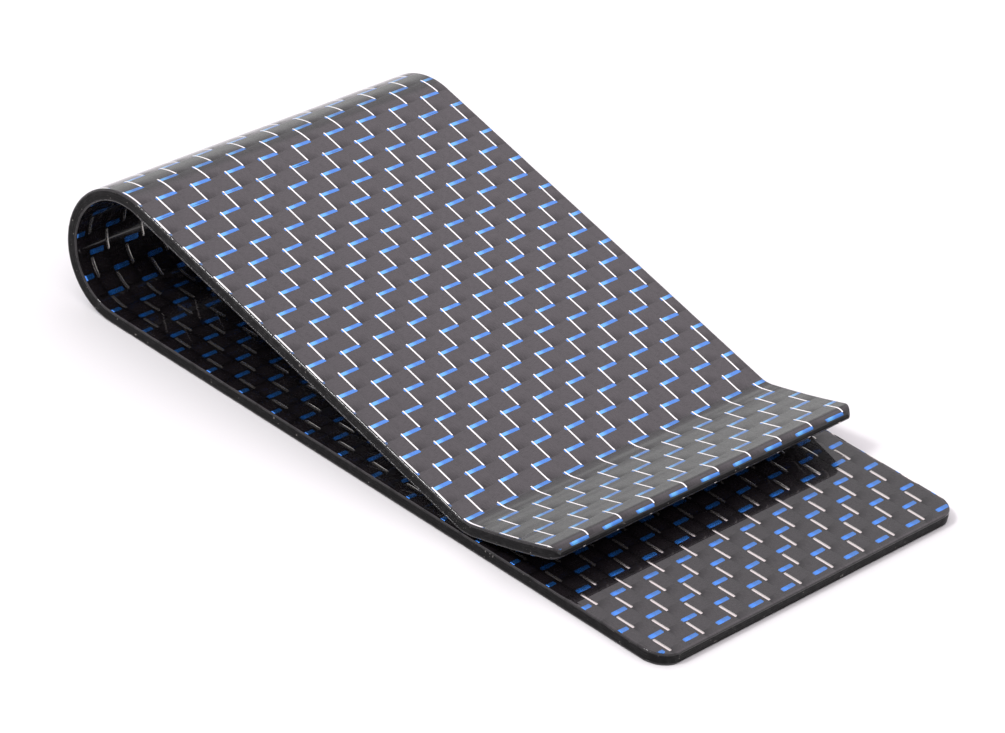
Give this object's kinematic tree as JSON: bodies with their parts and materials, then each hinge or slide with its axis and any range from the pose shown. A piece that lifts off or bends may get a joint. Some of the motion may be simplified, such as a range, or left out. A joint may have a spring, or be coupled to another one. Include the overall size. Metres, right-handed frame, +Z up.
{
  "type": "money clip",
  "caption": "Folded woven carbon fibre money clip: a flat base leaf, a round bow at the rear and a sprung arm that ends in a raised lip.",
  "frame": {"origin": "middle of the clip in plan, on the plane that the base leaf rests on", "axes": "+X across the clip, +Y from the open end to the bow, +Z up out of the base leaf"},
  "size_m": [0.0376, 0.0682, 0.0123],
  "materials": {
    "face_weave": "clear glossy epoxy over black plain-weave carbon with fine blue and silver tracer threads",
    "core_cloth": "black carbon cloth in epoxy, cut and sealed at the edges"
  },
  "bodies": {
    "base": {"base_outer_weave_ply": "face_weave", "base_core_ply_outer": "core_cloth", "base_core_ply_middle": "core_cloth", "base_core_ply_inner": "core_cloth", "base_inner_weave_ply": "face_weave", "bow_outer_weave_ply": "face_weave", "bow_core_ply_outer": "core_cloth", "bow_core_ply_middle": "core_cloth", "bow_core_ply_inner": "core_cloth", "bow_inner_weave_ply": "face_weave"},
    "arm": {"arm_outer_weave_ply": "face_weave", "arm_core_ply_outer": "core_cloth", "arm_core_ply_middle": "core_cloth", "arm_core_ply_inner": "core_cloth", "arm_inner_weave_ply": "face_weave"}
  },
  "joints": [
    {"name": "arm_flex", "type": "hinge", "parent": "base", "child": "arm", "pos_m": [0, 0.0312, 0.00656], "axis": [-1, 0, 0], "range_deg": [0, 8], "stiffness_Nm_per_rad": 0.2, "springref_deg": -4.01, "deforming": ["bow_outer_weave_ply", "bow_core_ply_outer", "bow_core_ply_middle", "bow_core_ply_inner", "bow_inner_weave_ply"]}
  ]
}
